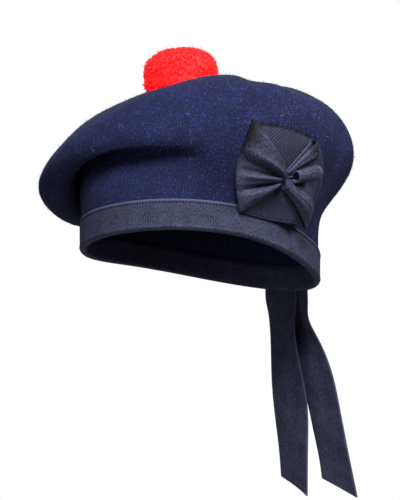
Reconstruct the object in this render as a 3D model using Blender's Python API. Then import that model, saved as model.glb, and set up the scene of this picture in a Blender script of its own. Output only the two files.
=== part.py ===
"""Balmoral bonnet: a felted wool crown bound with ribbon, with a pompom, a folded cockade and two ribbon tails.

Metres, +Z up. The wearer faces -Y and the wearer's left is +X. The origin is the middle of the head opening.
A bearing is an angle round the upright axis, from the wearer's front towards the wearer's left.
"""

import math
import random

import bmesh
import bpy
import numpy as np
from mathutils import Vector
from mathutils.bvhtree import BVHTree

# Head opening, at the outside of the felt
OPENING_LENGTH = 0.198
OPENING_WIDTH = 0.161
OPENING_PITCH = math.radians(12.0)  # the front is worn higher than the back
OPENING_ROLL = math.radians(1.9)  # the wearer's left is worn higher than the right
EDGE_WAVE = 0.005  # the soft edge rises at two sides and falls between them
EDGE_WAVE_BEARING = math.radians(51.0)

# Felt crown
FELT_WALL = 0.0022
CROWN_OVERHANG = 0.045  # how far the crown's rim stands out past the head opening at most
CROWN_RISE = 0.135  # from the origin to the top of the crown's highest ridge
CROWN_SHIFT_LEFT = -0.022  # middle of the crown's top from the upright axis
CROWN_SHIFT_BACK = 0.005
CROWN_MIDDLE_UP = 0.117  # height of the crown's middle, where the pompom sits
FOLD_DEPTH = 0.008
FOLD_WIDTH = 0.020

# Ribbon and the room between pieces
RIBBON_WALL = 0.001
CLEARANCE = 0.0004
BAND_WIDTH = 0.022
BAND_INSIDE_WIDTH = 0.019
ABOVE_BAND = 0.003  # the felt stays straight this far above the band

# Pompom
TOORIE_WIDTH = 0.054
TOORIE_HEIGHT = 0.0365
TOORIE_EQUATOR = 0.0195  # its widest level, above the crown
TOORIE_LEAN = 0.45  # share of the crown's slope that it leans with
TOORIE_BOXY_TOP = 2.5  # 2 for a ball, more for a ball with flatter sides
TOORIE_BOXY_FOOT = 3.2
TOORIE_CORE = 0.84  # share of its radius that is solid, inside the locks
LOCK_SHORTEST = 0.94  # where the shortest lock ends, as a share of its radius
LOCK_TAPER = 0.86  # a lock's size at its end, as a share of its size at the core
TRIM_SEED = 7

# Cockade
COCKADE_SIDE = 0.064
COCKADE_BEARING = math.radians(72.5)
COCKADE_UP = 0.062
COCKADE_TURN = math.radians(-11.3)  # as seen from outside
COCKADE_RISE = 0.010  # length of its slope from the felt up on to the band
COCKADE_STAND = 0.005  # how far its rear side stands off the felt
BASE_FACETS = 8  # along each side
LOOP_LIFT = 0.0075  # how high a loop's pleats puff
LOOP_GAP = 0.0012  # room inside a loop where it is pressed flattest
LOOP_GATHER = 0.004  # half width of a loop where it is gathered
GATHER_UP = -0.10  # where the loops are gathered, above the cockade's middle, as a share of half of its side
LOOP_PATH_FACETS = 15
LOOP_ACROSS_FACETS = 12
CURL_START = 0.0055  # the curl's two ends, from where the loops are gathered
CURL_REACH = 0.019
CURL_RADIUS = 0.0056
CURL_TAPER = 0.7  # its radius at its inner end, as a share
CURL_TURN = math.radians(24.0)  # upwards, from the cockade's own right
CURL_OPEN = math.radians(50.0)  # the slit along its seat
CURL_VALLEY = 0.02  # height of the back loop's pleats where it lies, as a share of LOOP_LIFT
CURL_ROUND_FACETS = 10
CURL_LONG_FACETS = 4

# Ribbon tails
TAIL_WIDTH = 0.030
TAIL_LENGTH = 0.170
TAIL_LAP = 0.018  # how much of each tail lies on the band
TAIL_SLANT = 0.014  # how much longer one edge is, where the end is cut
TAIL_FACETS = 22
TAIL_ACROSS_FACETS = 3

# Crown sections: "out" is beyond the head opening, in shares of CROWN_OVERHANG, and "up" is above the origin, in
# shares of CROWN_RISE. The crease is the valley over the wall, and the lip is the underside's lowest turn.
SECTION_COLUMNS = (
    "bearing", "crease_out", "crease_up", "lip_out", "lip_up", "rim_out", "rim_up",
    "shoulder_out", "shoulder_up", "crest_out", "crest_up",
)
SECTIONS = (
    (0, 0.01, 0.575, 0.20, 0.56, 0.29, 0.625, -0.04, 0.80, -0.87, 0.89),
    (35, 0.11, 0.52, 0.22, 0.60, 0.25, 0.73, 0.01, 0.89, -0.59, 0.965),
    (62, 0.23, 0.48, 0.32, 0.63, 0.36, 0.765, 0.18, 0.905, -0.39, 1.0),
    (90, 0.21, 0.37, 0.34, 0.51, 0.48, 0.67, 0.39, 0.85, -0.21, 0.97),
    (125, 0.08, 0.27, 0.26, 0.37, 0.59, 0.57, 0.44, 0.785, -0.16, 0.935),
    (180, 0.11, 0.22, 0.33, 0.30, 0.60, 0.46, 0.38, 0.645, -0.51, 0.81),
    (235, 0.24, 0.34, 0.59, 0.24, 0.95, 0.34, 0.70, 0.52, -0.34, 0.725),
    (270, 0.18, 0.43, 0.45, 0.20, 0.98, 0.305, 0.74, 0.495, -0.30, 0.71),
    (305, 0.14, 0.51, 0.16, 0.29, 0.74, 0.385, 0.45, 0.56, -0.48, 0.78),
    (332, 0.05, 0.57, 0.20, 0.45, 0.48, 0.515, 0.25, 0.65, -0.66, 0.83),
)
# The rings that a section passes through, from the hem to the middle of the top: the share of the crown's shift
# that each follows, and the facets between it and the next
RING_COLUMNS = ("ring", "shift", "facets")
RINGS = (
    ("edge", 0.0, 1),
    ("band_middle", 0.0, 1),
    ("band_top", 0.0, 2),
    ("crease", 0.0, 4),
    ("lip", 0.0, 4),
    ("rim", 0.0, 4),
    ("shoulder", 0.2, 4),
    ("crest", 0.6, 3),
    ("middle", 1.0, 0),
)
CROWN_FACETS = 60  # round the crown and the band
SHARP_ANGLE = math.radians(50.0)

# Soft folds from one place on the crown to another. A place's ring counts the rings above, so that 5.5 is halfway
# from the rim to the shoulder. Depth and width are shares of FOLD_DEPTH and FOLD_WIDTH. A depth below 0 swells.
FOLD_STEPS = 15
FOLD_FADE = 0.12  # a fold's depth follows half a wave between its ends, less this share at each end
FOLD_COLUMNS = ("bearing_1", "ring_1", "bearing_2", "ring_2", "depth", "width")
FOLDS = (
    (76, 6.9, 52, 4.6, 1.0, 0.52),
    (97, 7.2, 93, 6.0, 0.40, 0.80),
    (116, 6.6, 104, 4.0, 0.35, 0.50),
    (305, 3.4, 390, 3.15, 0.95, 0.40),
)

# Side view of a cockade loop: the ribbon goes out along the base, turns and comes back over itself. Out is in
# shares of its reach, gap in shares of the room inside it, and puff in shares of its pleats' height.
LOOP_COLUMNS = ("out", "gap", "puff")
LOOP_PATH = (
    (0.06, 0.0, 0.0),
    (0.50, 0.0, 0.0),
    (0.90, 0.0, 0.0),
    (0.99, 0.15, 0.0),
    (1.0, 0.65, 0.10),
    (0.94, 1.0, 0.38),
    (0.75, 1.0, 0.85),
    (0.48, 1.0, 1.0),
    (0.22, 1.0, 0.75),
    (0.06, 1.0, 0.30),
)
# Height of the loops' pleats across them, from the low side to the top side, in shares of LOOP_LIFT
PLEAT_COLUMNS = ("across", "front", "back")
PLEATS = (
    (-1.0, 0.15, 0.20),
    (-0.72, 0.70, 0.95),
    (-0.45, 0.12, 0.70),
    (-0.20, 0.85, 0.40),
    (0.04, 0.12, 0.06),
    (0.34, 0.95, 0.0),
    (0.62, 0.85, 0.04),
    (0.86, 0.70, 0.50),
    (1.0, 0.20, 0.15),
)
# Outer ends of the two loops, and the base's sides and middle, each from its low corner to its top corner, as right
# and up of the cockade's middle in shares of half of COCKADE_SIDE
SIDE_COLUMNS = ("low_right", "low_up", "middle_right", "middle_up", "top_right", "top_up")
COCKADE_LOOPS = (
    ("cockade_loop_front", "front", (-0.83, -1.02, -1.16, -0.10, -1.08, 1.01)),
    ("cockade_loop_back", "back", (1.11, -1.06, 0.86, -0.05, 0.38, 0.86)),
)
BASE_SIDES = (
    (-0.77, -1.02, -0.95, -0.04, -0.95, 0.93),
    (0.10, -1.01, -0.02, -0.02, -0.22, 1.0),
    (1.30, -0.90, 1.16, 0.02, 0.52, 0.91),
)

# Tails: down, out from the band and side towards the wearer's left are shares of TAIL_LENGTH, and turn is in degrees
TAIL_COLUMNS = ("down", "out", "side", "turn")
TAIL_LEFT = (
    (0.0, 0.0, 0.0, 0),
    (0.11, 0.0, 0.0, 0),
    (0.23, 0.028, 0.008, -20),
    (0.31, 0.048, 0.019, -8),
    (0.46, 0.087, 0.039, 12),
    (0.60, 0.136, 0.045, 7),
    (0.72, 0.165, 0.052, 5),
    (0.90, 0.213, 0.056, 5),
    (1.0, 0.234, 0.058, 10),
)
TAIL_RIGHT = (
    (0.0, 0.0, 0.0, 0),
    (0.11, 0.0, 0.0, 0),
    (0.23, 0.008, -0.002, -12),
    (0.31, 0.018, -0.004, -14),
    (0.46, 0.047, -0.008, -4),
    (0.60, 0.085, -0.016, 6),
    (0.80, 0.130, -0.030, -4),
    (1.0, 0.165, -0.046, -12),
)
TAIL_LEFT_BEARING = math.radians(170.0)
TAIL_RIGHT_BEARING = math.radians(177.0)


def spline(knots, values, places):
    """The natural cubic spline through rows of values at the knots, read at the places."""
    knots, values, places = (np.asarray(each, float) for each in (knots, values, places))
    steps = np.diff(knots)[:, None]
    slopes = np.diff(values, axis=0) / steps
    count = len(knots)
    system = np.eye(count)
    bends = np.zeros_like(values)
    for i in range(1, count - 1):
        before, after = steps[i - 1, 0], steps[i, 0]
        system[i, i - 1 : i + 2] = before, 2 * (before + after), after
        bends[i] = 6 * (slopes[i] - slopes[i - 1])
    bends = np.linalg.solve(system, bends)
    i = np.clip(np.searchsorted(knots, places, side="right") - 1, 0, count - 2)
    step = steps[i]
    past = places[:, None] - knots[i, None]
    left = step - past
    cubic = (bends[i] * left**3 + bends[i + 1] * past**3) / (6 * step)
    cubic += (values[i] / step - bends[i] * step / 6) * left
    return cubic + (values[i + 1] / step - bends[i + 1] * step / 6) * past


def smoothstep(share):
    share = np.clip(share, 0, 1)
    return share * share * (3 - 2 * share)


def outward(bearing):
    return np.stack([np.sin(bearing), -np.cos(bearing), 0 * bearing], -1)


def leftward(bearing):
    """Along the surface towards falling bearings: at the back, towards the wearer's left."""
    return np.stack([-np.cos(bearing), -np.sin(bearing), 0 * bearing], -1)


def opening_radius(bearing):
    half_length, half_width = OPENING_LENGTH / 2, OPENING_WIDTH / 2
    return half_length * half_width / np.hypot(half_width * np.cos(bearing), half_length * np.sin(bearing))


def edge_height(bearing):
    lean = np.cos(bearing) * math.tan(OPENING_PITCH) + np.sin(bearing) * math.tan(OPENING_ROLL)
    return opening_radius(bearing) * lean + EDGE_WAVE * np.cos(2 * (bearing - EDGE_WAVE_BEARING))


def ring_points(ring, shift, bearings):
    """The crown's points at a named ring, one for each bearing."""
    table = np.array(SECTIONS, float)
    degrees = np.concatenate([table[:, 0] - 360, table[:, 0], table[:, 0] + 360])
    values = spline(degrees, np.tile(table[:, 1:], (3, 1)), np.degrees(bearings) % 360)
    columns = dict(zip(SECTION_COLUMNS[1:], values.T))
    out, edge = opening_radius(bearings), edge_height(bearings)
    if ring == "edge":
        up = edge + RIBBON_WALL + CLEARANCE + FELT_WALL / 2
    elif ring == "band_middle":
        up = edge + BAND_WIDTH / 2
    elif ring == "band_top":
        up = edge + BAND_WIDTH + ABOVE_BAND
    elif ring == "middle":
        out, up = 0 * out, CROWN_MIDDLE_UP + 0 * out
    else:
        out = out + CROWN_OVERHANG * columns[ring + "_out"]
        up = CROWN_RISE * columns[ring + "_up"]
    moved = shift * np.array([CROWN_SHIFT_LEFT, CROWN_SHIFT_BACK, 0])
    return moved + outward(bearings) * out[:, None] + np.array([0, 0, 1]) * up[:, None]


def smooth_crown(bearings, places):
    """The crown's outside before its folds. A place counts the rings from 0 at the edge."""
    rings = [ring_points(ring, shift, bearings) for ring, shift, _ in RINGS]
    ring, shift, _ = RINGS[-2]
    opposite = ring_points(ring, shift, bearings + math.pi)
    controls = np.stack(rings + [opposite], axis=1)
    grid = np.empty((len(bearings), len(places), 3))
    for line, knots in zip(grid, controls):
        chords = np.append(0, np.cumsum(np.linalg.norm(np.diff(knots, axis=0), axis=1)))
        line[:] = spline(chords, knots, np.interp(places, np.arange(len(chords)), chords))
    return grid


def grid_normals(points, closed=False):
    """Unit normals of a grid of points, from the first direction across the second."""
    if closed:
        first = np.roll(points, -1, 0) - np.roll(points, 1, 0)
    else:
        first = np.gradient(points, axis=0)
    normals = np.cross(first, np.gradient(points, axis=1))
    lengths = np.linalg.norm(normals, axis=-1, keepdims=True)
    return normals / np.maximum(lengths, 1e-12)


def crown_normals(points):
    normals = grid_normals(points, closed=True)
    middle = normals[:, -2].mean(axis=0)
    normals[:, -1] = middle / np.linalg.norm(middle)
    return normals


def crown_outside(bearings, places):
    """The crown's outside with its folds, and its normals."""
    points = smooth_crown(bearings, places)
    normals = crown_normals(points)
    push = np.zeros(points.shape[:2])
    for row in FOLDS:
        fold = dict(zip(FOLD_COLUMNS, row))
        shares = np.linspace(0, 1, FOLD_STEPS)
        fades = np.sin(math.pi * np.linspace(FOLD_FADE, 1 - FOLD_FADE, FOLD_STEPS))
        deepest = np.zeros_like(push)
        for share, fade in zip(shares, fades):
            bearing = math.radians(fold["bearing_1"] + share * (fold["bearing_2"] - fold["bearing_1"]))
            place = fold["ring_1"] + share * (fold["ring_2"] - fold["ring_1"])
            step = smooth_crown(np.array([bearing]), np.array([place]))[0, 0]
            apart = np.linalg.norm(points - step, axis=-1) / (fold["width"] * FOLD_WIDTH)
            deepest = np.maximum(deepest, fade * np.exp(-(apart**2)))
        push += fold["depth"] * FOLD_DEPTH * deepest
    points = points - normals * push[..., None]
    return points, crown_normals(points)


def linear(part):
    return part / 12.92 if part <= 0.04045 else ((part + 0.055) / 1.055) ** 2.4


def material(name, colour, roughness):
    """A cloth's material. The colour is sRGB in hexadecimal."""
    made = bpy.data.materials.new(name)
    made.use_nodes = True
    shader = made.node_tree.nodes["Principled BSDF"]
    parts = [linear(int(colour[i : i + 2], 16) / 255) for i in (0, 2, 4)]
    shader.inputs["Base Color"].default_value = (*parts, 1)
    shader.inputs["Roughness"].default_value = roughness
    shader.inputs["Metallic"].default_value = 0.0
    made.diffuse_color = (*parts, 1)
    return made


def solid(name, points, faces, cloth):
    """An object from points and faces, with its doubled points made one and its faces pointing out."""
    mesh = bpy.data.meshes.new(name)
    mesh.from_pydata([tuple(point) for point in points], [], faces)
    shape = bmesh.new()
    shape.from_mesh(mesh)
    bmesh.ops.remove_doubles(shape, verts=shape.verts, dist=1e-6)
    bmesh.ops.recalc_face_normals(shape, faces=shape.faces)
    shape.to_mesh(mesh)
    shape.free()
    mesh.shade_smooth()
    mesh.set_sharp_from_angle(angle=SHARP_ANGLE)
    mesh.materials.append(cloth)
    made = bpy.data.objects.new(name, mesh)
    bpy.context.collection.objects.link(made)
    return made


def sheet(name, over, under, cloth, closed=False, pole=False):
    """The solid between two grids of points. A closed grid's last line joins its first, and a pole has no hem."""
    lines, count = over.shape[:2]
    spans = lines if closed else lines - 1

    def corner(side, i, j):
        return (side * lines + i % lines) * count + j

    faces = []
    for i in range(spans):
        for j in range(count - 1):
            faces.append([corner(0, i, j), corner(0, i + 1, j), corner(0, i + 1, j + 1), corner(0, i, j + 1)])
            faces.append([corner(1, i, j + 1), corner(1, i + 1, j + 1), corner(1, i + 1, j), corner(1, i, j)])
        for j in (0,) if pole else (0, count - 1):
            faces.append([corner(0, i, j), corner(1, i, j), corner(1, i + 1, j), corner(0, i + 1, j)])
    if not closed:
        for i in (0, lines - 1):
            for j in range(count - 1):
                faces.append([corner(0, i, j), corner(0, i, j + 1), corner(1, i, j + 1), corner(1, i, j)])
    return solid(name, np.concatenate([over.reshape(-1, 3), under.reshape(-1, 3)]), faces, cloth)


def ribbon(name, middle, cloth, closed=False):
    """A ribbon whose middle surface is a grid of points."""
    half = grid_normals(middle, closed) * RIBBON_WALL / 2
    return sheet(name, middle + half, middle - half, cloth, closed)


def build_crown(felt):
    bearings = np.arange(CROWN_FACETS) * 2 * math.pi / CROWN_FACETS
    places = [i + step / facets for i, (_, _, facets) in enumerate(RINGS) for step in range(facets)]
    places.append(len(RINGS) - 1)
    outside, normals = crown_outside(bearings, places)
    return sheet("felt_crown", outside, outside - normals * FELT_WALL, felt, closed=True, pole=True)


def build_band(cloth):
    """The ribbon folded round the hem: its outer ply, the fold under the hem and its inner ply."""
    outer = CLEARANCE + RIBBON_WALL / 2
    inner = -FELT_WALL - CLEARANCE - RIBBON_WALL / 2
    turn = (outer - inner) / 2
    low = turn + RIBBON_WALL / 2
    section = [(inner, BAND_INSIDE_WIDTH), (inner, low)]
    for angle in np.radians([240, 300]):
        section.append(((outer + inner) / 2 + turn * math.cos(angle), low + turn * math.sin(angle)))
    section += [(outer, low), (outer, BAND_WIDTH)]
    bearings = np.arange(CROWN_FACETS) * 2 * math.pi / CROWN_FACETS
    offsets, heights = np.array(section).T
    radii = opening_radius(bearings)[:, None] + offsets
    ups = edge_height(bearings)[:, None] + heights
    middle = outward(bearings)[:, None] * radii[..., None] + np.array([0, 0, 1]) * ups[..., None]
    return ribbon("ribbon_band", middle, cloth, closed=True)


def build_toorie(crown, wool):
    """Tapered locks of yarn on a head, which stands on the felt over the middle of the crown."""
    bearings = np.arange(CROWN_FACETS) * 2 * math.pi / CROWN_FACETS
    places = len(RINGS) - 1 - np.array([1 / RINGS[-2][2], 0])
    seat, normals = crown_outside(bearings, places)
    ball = bmesh.new()
    bmesh.ops.create_icosphere(ball, subdivisions=3, radius=TOORIE_CORE)
    locks = bmesh.ops.extrude_discrete_faces(ball, faces=ball.faces[:])["faces"]
    trims = random.Random(TRIM_SEED)
    for lock in locks:
        root = lock.calc_center_median()
        tip = root.normalized() * trims.uniform(LOCK_SHORTEST, 1.0)
        for corner in lock.verts:
            corner.co = tip + (corner.co - root) * LOCK_TAPER
    for point in ball.verts:
        way = point.co.normalized()
        boxy = TOORIE_BOXY_TOP if way.z > 0 else TOORIE_BOXY_FOOT
        point.co /= (math.hypot(way.x, way.y) ** boxy + abs(way.z) ** boxy) ** (1 / boxy)
        point.co.x *= TOORIE_WIDTH / 2
        point.co.y *= TOORIE_WIDTH / 2
        point.co.z *= TOORIE_HEIGHT - TOORIE_EQUATOR if point.co.z > 0 else TOORIE_EQUATOR
    up = Vector((0, 0, 1))
    turned = up.rotation_difference(up.lerp(Vector(normals[0, -1]), TOORIE_LEAN)).to_matrix()
    points = [Vector(seat[0, -1]) + turned @ point.co for point in ball.verts]
    faces = [[corner.index for corner in face.verts] for face in ball.faces]
    ball.free()
    felt = felt_tree(crown)
    sunk = max(felt.ray_cast(point + up * CROWN_RISE, -up)[0].z - point.z for point in points)
    return solid("toorie", [point + up * (sunk + CLEARANCE) for point in points], faces, wool)


def felt_tree(crown):
    points = [corner.co for corner in crown.data.vertices]
    return BVHTree.FromPolygons(points, [face.vertices[:] for face in crown.data.polygons])


class CockadeSeat:
    """Places points over the wearer's left side of the crown, by the cockade's own right, up and height.

    The cockade is stiffer than the felt: it lies on a smooth surface, which the felt touches where it stands out.
    """

    def __init__(self, crown):
        self.felt = felt_tree(crown)
        self.radius = self.felt_radius(COCKADE_BEARING, COCKADE_UP)
        marks = np.linspace(-0.5, 0.5, 2 * BASE_FACETS + 1)
        right, up = (part.ravel() for part in np.meshgrid(marks, marks))
        felt = np.array([self.felt_radius(*self.place(*spot)) for spot in zip(right * COCKADE_SIDE, up * COCKADE_SIDE)])
        terms = self.terms(right, up)
        self.shape = np.linalg.lstsq(terms, felt, rcond=None)[0]
        self.shape[0] += (felt - terms @ self.shape).max()

    def terms(self, right, up):
        return np.stack([right**i * up**j for i in range(4) for j in range(4 - i)], -1)

    def felt_radius(self, bearing, level):
        far = OPENING_LENGTH + CROWN_OVERHANG
        away = Vector((math.sin(bearing), -math.cos(bearing), 0))
        hit = self.felt.ray_cast(away * far + Vector((0, 0, level)), -away)
        return far - hit[3]

    def place(self, right, up):
        across = right * math.cos(COCKADE_TURN) - up * math.sin(COCKADE_TURN)
        level = COCKADE_UP + right * math.sin(COCKADE_TURN) + up * math.cos(COCKADE_TURN)
        return COCKADE_BEARING + across / self.radius, level

    def grid(self, right, up, height):
        """Points at heights over the seat. Where it passes over the band, it stands off by the band's ply."""
        bearing, level = self.place(right, up)
        over_band = edge_height(bearing) + BAND_WIDTH + 2 * COCKADE_RISE - level
        stand = (RIBBON_WALL + CLEARANCE) * smoothstep(over_band / COCKADE_RISE)
        stand = stand + COCKADE_STAND * smoothstep(2 * right / COCKADE_SIDE)
        reach = self.terms(right / COCKADE_SIDE, up / COCKADE_SIDE) @ self.shape + stand + height
        return outward(bearing) * reach[..., None] + np.array([0, 0, 1]) * level[..., None]


def side_points(side, marks):
    """Right and up of the points at marks from -1 at a side's low corner to 1 at its top corner."""
    return (spline((-1, 0, 1), np.reshape(side, (3, 2)), marks) * COCKADE_SIDE / 2).T


def build_cockade_base(seat, cloth):
    marks = np.linspace(-1, 1, BASE_FACETS + 1)
    sides = np.array([side_points(side, marks).ravel() for side in BASE_SIDES])
    right, up = spline((-1, 0, 1), sides, marks).reshape(len(marks), 2, len(marks)).transpose(1, 0, 2)
    low = np.full_like(right, CLEARANCE)
    return sheet("cockade_base", seat.grid(right, up, low + RIBBON_WALL), seat.grid(right, up, low), cloth)


def build_cockade_loop(seat, name, pleated, side, cloth):
    """A wide ribbon looped out to one side of the cockade, fanned from where it is gathered to its outer end."""
    steps = np.linspace(0, len(LOOP_PATH) - 1, LOOP_PATH_FACETS + 1)
    out, gap, puff = spline(np.arange(len(LOOP_PATH)), LOOP_PATH, steps).T
    across = np.linspace(-1, 1, LOOP_ACROSS_FACETS + 1)
    pleats = np.array(PLEATS)
    height = spline(pleats[:, 0], pleats[:, 1:], across)[:, PLEAT_COLUMNS.index(pleated) - 1]
    end_right, end_up = side_points(side, across)
    right = np.outer(out, end_right)
    up = np.outer(1 - out, across * LOOP_GATHER + GATHER_UP * COCKADE_SIDE / 2) + np.outer(out, end_up)
    room = (LOOP_GAP + RIBBON_WALL) * np.clip(gap, 0, None)
    rise = room[:, None] + LOOP_LIFT * np.outer(np.clip(puff, 0, None), np.clip(height, 0, None))
    rest = 2 * CLEARANCE + 1.5 * RIBBON_WALL
    return ribbon(name, seat.grid(right, up, rest + rise), cloth)


def build_cockade_curl(seat, cloth):
    """A strip rolled into a tube that widens outwards, open along its seat, in the back loop's middle valley."""
    rounds = CURL_OPEN / 2 - math.pi / 2 + np.linspace(0, 2 * math.pi - CURL_OPEN, CURL_ROUND_FACETS + 1)
    marks = np.linspace(0, 1, CURL_LONG_FACETS + 1)
    turn, share = np.meshgrid(rounds, marks, indexing="ij")
    radius = CURL_RADIUS * (CURL_TAPER + (1 - CURL_TAPER) * share)
    along = CURL_START + share * (CURL_REACH - CURL_START)
    across = radius * np.cos(turn)
    right = along * math.cos(CURL_TURN) - across * math.sin(CURL_TURN)
    up = along * math.sin(CURL_TURN) + across * math.cos(CURL_TURN) + GATHER_UP * COCKADE_SIDE / 2
    rest = 3 * CLEARANCE + 3.5 * RIBBON_WALL + LOOP_GAP + LOOP_LIFT * CURL_VALLEY
    return ribbon("cockade_curl", seat.grid(right, up, rest + radius * (1 + np.sin(turn))), cloth)


def build_tail(name, rows, bearing, layer, cloth):
    """A ribbon sewn flat on the band that hangs free below it. Its layer counts the ribbons under it on the band."""
    table = np.array(rows, float)
    shares = np.linspace(0, 1, TAIL_FACETS + 1)
    across = np.linspace(-0.5, 0.5, TAIL_ACROSS_FACETS + 1)
    down = shares[:, None] * (TAIL_LENGTH + TAIL_SLANT * across)
    route = spline(table[:, 0], table[:, 1:], (down / TAIL_LENGTH).ravel()).reshape(*down.shape, 3)
    out, side, turn = route[..., 0] * TAIL_LENGTH, route[..., 1] * TAIL_LENGTH, np.radians(route[..., 2])
    aside = across * TAIL_WIDTH + 0 * down
    level = edge_height(bearing) + TAIL_LAP - down
    stand = 2 * CLEARANCE + 1.5 * RIBBON_WALL + layer * (CLEARANCE + RIBBON_WALL)
    there = bearing - aside / opening_radius(bearing)
    sewn = outward(there) * (opening_radius(there) + stand)[..., None]
    root = outward(bearing) * (opening_radius(bearing) + stand)
    free = root + outward(bearing) * out[..., None] + leftward(bearing) * side[..., None]
    free = free + leftward(bearing + turn) * aside[..., None]
    cup = aside**2 / (2 * opening_radius(bearing))
    free = free - outward(bearing + turn) * cup[..., None]
    loose = smoothstep((down - TAIL_LAP) / TAIL_LAP)[..., None]
    middle = sewn + (free - sewn) * loose
    middle[..., 2] = level
    return ribbon(name, middle, cloth)


def main():
    for old in list(bpy.data.objects):
        bpy.data.objects.remove(old)
    felt = material("navy_felted_wool", "2B2F5A", 0.95)
    wool = material("red_wool_yarn", "E8242C", 0.9)
    grosgrain = material("black_grosgrain", "33343F", 0.7)
    crown = build_crown(felt)
    build_band(grosgrain)
    build_toorie(crown, wool)
    seat = CockadeSeat(crown)
    build_cockade_base(seat, grosgrain)
    for name, pleated, side in COCKADE_LOOPS:
        build_cockade_loop(seat, name, pleated, side, grosgrain)
    build_cockade_curl(seat, grosgrain)
    build_tail("tail_right", TAIL_RIGHT, TAIL_RIGHT_BEARING, 0, grosgrain)
    build_tail("tail_left", TAIL_LEFT, TAIL_LEFT_BEARING, 1, grosgrain)


main()
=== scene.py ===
"""Looks of the balmoral bonnet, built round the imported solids: milled wool crown with its nap, grosgrain
binding, cut yarn pompom, folded ribbon cockade and two hanging tails.

Metres, +Z up. The wearer faces -Y and the wearer's left is +X. A bearing is an angle round the upright axis,
from the wearer's front towards the wearer's left. The sizes and the tables of the main forms repeat the
solids' own.
"""

import math

import bmesh
import bpy
import numpy as np
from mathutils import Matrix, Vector, noise
from mathutils.bvhtree import BVHTree


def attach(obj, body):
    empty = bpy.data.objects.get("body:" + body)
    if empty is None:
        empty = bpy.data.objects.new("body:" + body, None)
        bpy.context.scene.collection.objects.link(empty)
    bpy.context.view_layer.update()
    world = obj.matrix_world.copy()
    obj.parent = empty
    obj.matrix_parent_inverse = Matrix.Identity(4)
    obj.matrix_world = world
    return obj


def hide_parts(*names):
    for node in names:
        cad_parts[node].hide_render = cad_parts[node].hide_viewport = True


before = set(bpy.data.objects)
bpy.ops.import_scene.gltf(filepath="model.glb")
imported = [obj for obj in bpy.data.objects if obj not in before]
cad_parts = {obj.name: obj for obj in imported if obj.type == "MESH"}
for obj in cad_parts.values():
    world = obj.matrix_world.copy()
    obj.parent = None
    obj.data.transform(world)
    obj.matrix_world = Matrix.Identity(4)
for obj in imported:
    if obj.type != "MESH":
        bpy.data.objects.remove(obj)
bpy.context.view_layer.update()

# Head opening, at the outside of the felt
OPENING_LENGTH = 0.198
OPENING_WIDTH = 0.161
OPENING_PITCH = math.radians(12.0)
OPENING_ROLL = math.radians(1.9)
EDGE_WAVE = 0.005
EDGE_WAVE_BEARING = math.radians(51.0)

# Felt crown
FELT_WALL = 0.0022
CROWN_OVERHANG = 0.045
CROWN_RISE = 0.135
CROWN_SHIFT_LEFT = -0.022
CROWN_SHIFT_BACK = 0.005
CROWN_MIDDLE_UP = 0.117
FOLD_DEPTH = 0.008
FOLD_WIDTH = 0.020

# Ribbon and the room between pieces
RIBBON_WALL = 0.001
CLEARANCE = 0.0004
BAND_WIDTH = 0.022
BAND_INSIDE_WIDTH = 0.019
ABOVE_BAND = 0.003

# Pompom
TOORIE_WIDTH = 0.054
TOORIE_HEIGHT = 0.0365
TOORIE_EQUATOR = 0.0195
TOORIE_LEAN = 0.45
TOORIE_BOXY_TOP = 2.5
TOORIE_BOXY_FOOT = 3.2
TOORIE_CORE = 0.95
TOORIE_LUMPS = (0.035, 5.0)  # height as a share of the size, and lumps to a unit of direction
TOORIE_DIVISIONS = 5

# The pile grows where the pompom, at this share of its size, is clear of the felt, and its longer tufts from
# this far below the middle
PILE_ROOM = 1.05
FOOT_DROP = 0.006

# Cockade
COCKADE_SIDE = 0.064
COCKADE_BEARING = math.radians(72.5)
COCKADE_UP = 0.062
COCKADE_TURN = math.radians(-11.3)
COCKADE_RISE = 0.010
COCKADE_STAND = 0.005
LOOP_LIFT = 0.0075
LOOP_GAP = 0.0012
LOOP_GATHER = 0.004
GATHER_UP = -0.10
CURL_START = 0.0055
CURL_REACH = 0.019
CURL_RADIUS = 0.0056
CURL_TAPER = 0.7
CURL_TURN = math.radians(24.0)
CURL_OPEN = math.radians(50.0)
CURL_VALLEY = 0.02

# Ribbon tails
TAIL_WIDTH = 0.030
TAIL_LENGTH = 0.170
TAIL_LAP = 0.018
TAIL_SLANT = 0.014

# The crown's sections by bearing: how far out past the opening, and how far up, each ring is, as shares of
# CROWN_OVERHANG and CROWN_RISE
SECTION_COLUMNS = (
    "bearing", "crease_out", "crease_up", "lip_out", "lip_up", "rim_out", "rim_up",
    "shoulder_out", "shoulder_up", "crest_out", "crest_up",
)
SECTIONS = (
    (0, 0.01, 0.575, 0.20, 0.56, 0.29, 0.625, -0.04, 0.80, -0.87, 0.89),
    (35, 0.11, 0.52, 0.22, 0.60, 0.25, 0.73, 0.01, 0.89, -0.59, 0.965),
    (62, 0.23, 0.48, 0.32, 0.63, 0.36, 0.765, 0.18, 0.905, -0.39, 1.0),
    (90, 0.21, 0.37, 0.34, 0.51, 0.48, 0.67, 0.39, 0.85, -0.21, 0.97),
    (125, 0.08, 0.27, 0.26, 0.37, 0.59, 0.57, 0.44, 0.785, -0.16, 0.935),
    (180, 0.11, 0.22, 0.33, 0.30, 0.60, 0.46, 0.38, 0.645, -0.51, 0.81),
    (235, 0.24, 0.34, 0.59, 0.24, 0.95, 0.34, 0.70, 0.52, -0.34, 0.725),
    (270, 0.18, 0.43, 0.45, 0.20, 0.98, 0.305, 0.74, 0.495, -0.30, 0.71),
    (305, 0.14, 0.51, 0.16, 0.29, 0.74, 0.385, 0.45, 0.56, -0.48, 0.78),
    (332, 0.05, 0.57, 0.20, 0.45, 0.48, 0.515, 0.25, 0.65, -0.66, 0.83),
)

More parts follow.
